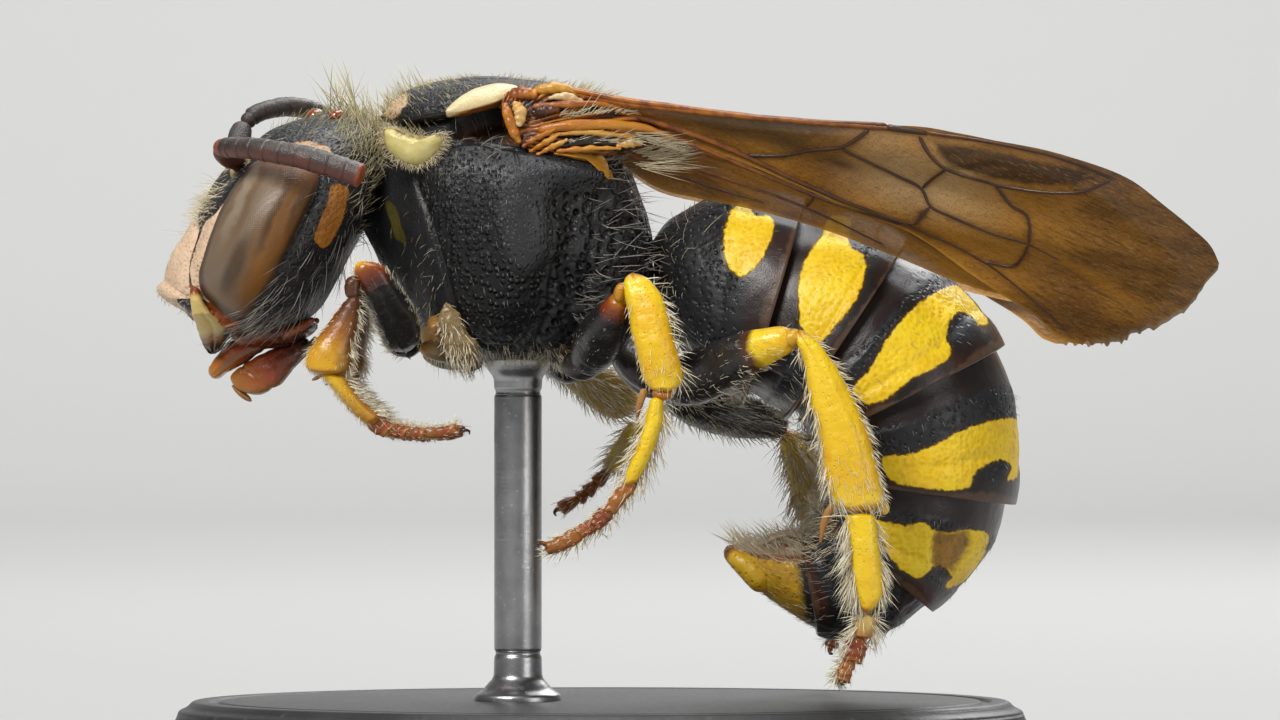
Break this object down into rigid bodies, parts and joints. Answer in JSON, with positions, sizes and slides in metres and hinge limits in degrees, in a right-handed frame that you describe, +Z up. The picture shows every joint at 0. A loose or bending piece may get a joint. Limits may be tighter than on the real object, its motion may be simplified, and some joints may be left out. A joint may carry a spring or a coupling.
{
  "type": "bee",
  "caption": "Life-size model of a small black and yellow resin bee, wings folded back and abdomen curled under, held over a flat oval base by a short rod.",
  "frame": {"origin": "centre of the display base's flat underside", "axes": "+Z up; the bee faces -X, its left side is -Y, its wings point to +X"},
  "size_m": [0.0101, 0.0062, 0.007],
  "materials": {
    "black_cuticle": "black insect cuticle, pitted, satin to glossy between the pits",
    "yellow_cuticle": "bright yellow insect cuticle, finely pitted, satin",
    "cream_cuticle": "cream to peach insect cuticle, finely pitted, dull",
    "brown_cuticle": "dark brown to orange-red insect cuticle, satin",
    "compound_eye": "taupe and orange-brown compound eye, smooth and glossy with very fine facets",
    "wing_membrane": "smoky brown see-through wing membrane with brown and amber veins",
    "pale_hair": "pale cream to olive-grey hair, soft sheen",
    "base_charcoal": "charcoal moulded base, fine satin",
    "rod_steel": "plain drawn steel rod, lightly brushed"
  },
  "bodies": {
    "root": {"head": "black_cuticle", "eye_left": "compound_eye", "mandible_left": "cream_cuticle", "antenna_scape_left": "brown_cuticle", "antenna_flagellum_left": "brown_cuticle", "eye_right": "compound_eye", "mandible_right": "cream_cuticle", "antenna_scape_right": "brown_cuticle", "antenna_flagellum_right": "brown_cuticle", "proboscis": "brown_cuticle", "prothorax": "black_cuticle", "thorax": "black_cuticle", "scutellum": "black_cuticle", "propodeum": "black_cuticle", "tegula_left": "cream_cuticle", "pronotal_lobe_left": "cream_cuticle", "wing_front_left": "wing_membrane", "wing_hind_left": "wing_membrane", "tegula_right": "cream_cuticle", "pronotal_lobe_right": "cream_cuticle", "wing_front_right": "wing_membrane", "wing_hind_right": "wing_membrane", "abdomen_1": "black_cuticle", "abdomen_2": "black_cuticle", "abdomen_3": "black_cuticle", "abdomen_4": "black_cuticle", "abdomen_5": "black_cuticle", "abdomen_6": "black_cuticle", "abdomen_7": "yellow_cuticle", "leg_front_left_coxa": "black_cuticle", "leg_front_left_femur": "black_cuticle", "leg_front_left_tibia": "yellow_cuticle", "leg_front_left_tarsus": "yellow_cuticle", "leg_front_right_coxa": "black_cuticle", "leg_front_right_femur": "black_cuticle", "leg_front_right_tibia": "yellow_cuticle", "leg_front_right_tarsus": "yellow_cuticle", "leg_middle_left_coxa": "black_cuticle", "leg_middle_left_femur": "black_cuticle", "leg_middle_left_tibia": "yellow_cuticle", "leg_middle_left_tarsus": "yellow_cuticle", "leg_middle_right_coxa": "black_cuticle", "leg_middle_right_femur": "black_cuticle", "leg_middle_right_tibia": "yellow_cuticle", "leg_middle_right_tarsus": "yellow_cuticle", "leg_hind_left_coxa": "black_cuticle", "leg_hind_left_femur": "black_cuticle", "leg_hind_left_tibia": "yellow_cuticle", "leg_hind_left_tarsus": "yellow_cuticle", "leg_hind_right_coxa": "black_cuticle", "leg_hind_right_femur": "black_cuticle", "leg_hind_right_tibia": "yellow_cuticle", "leg_hind_right_tarsus": "yellow_cuticle", "stand_base": "base_charcoal", "stand_rod": "rod_steel"}
  },
  "joints": []
}
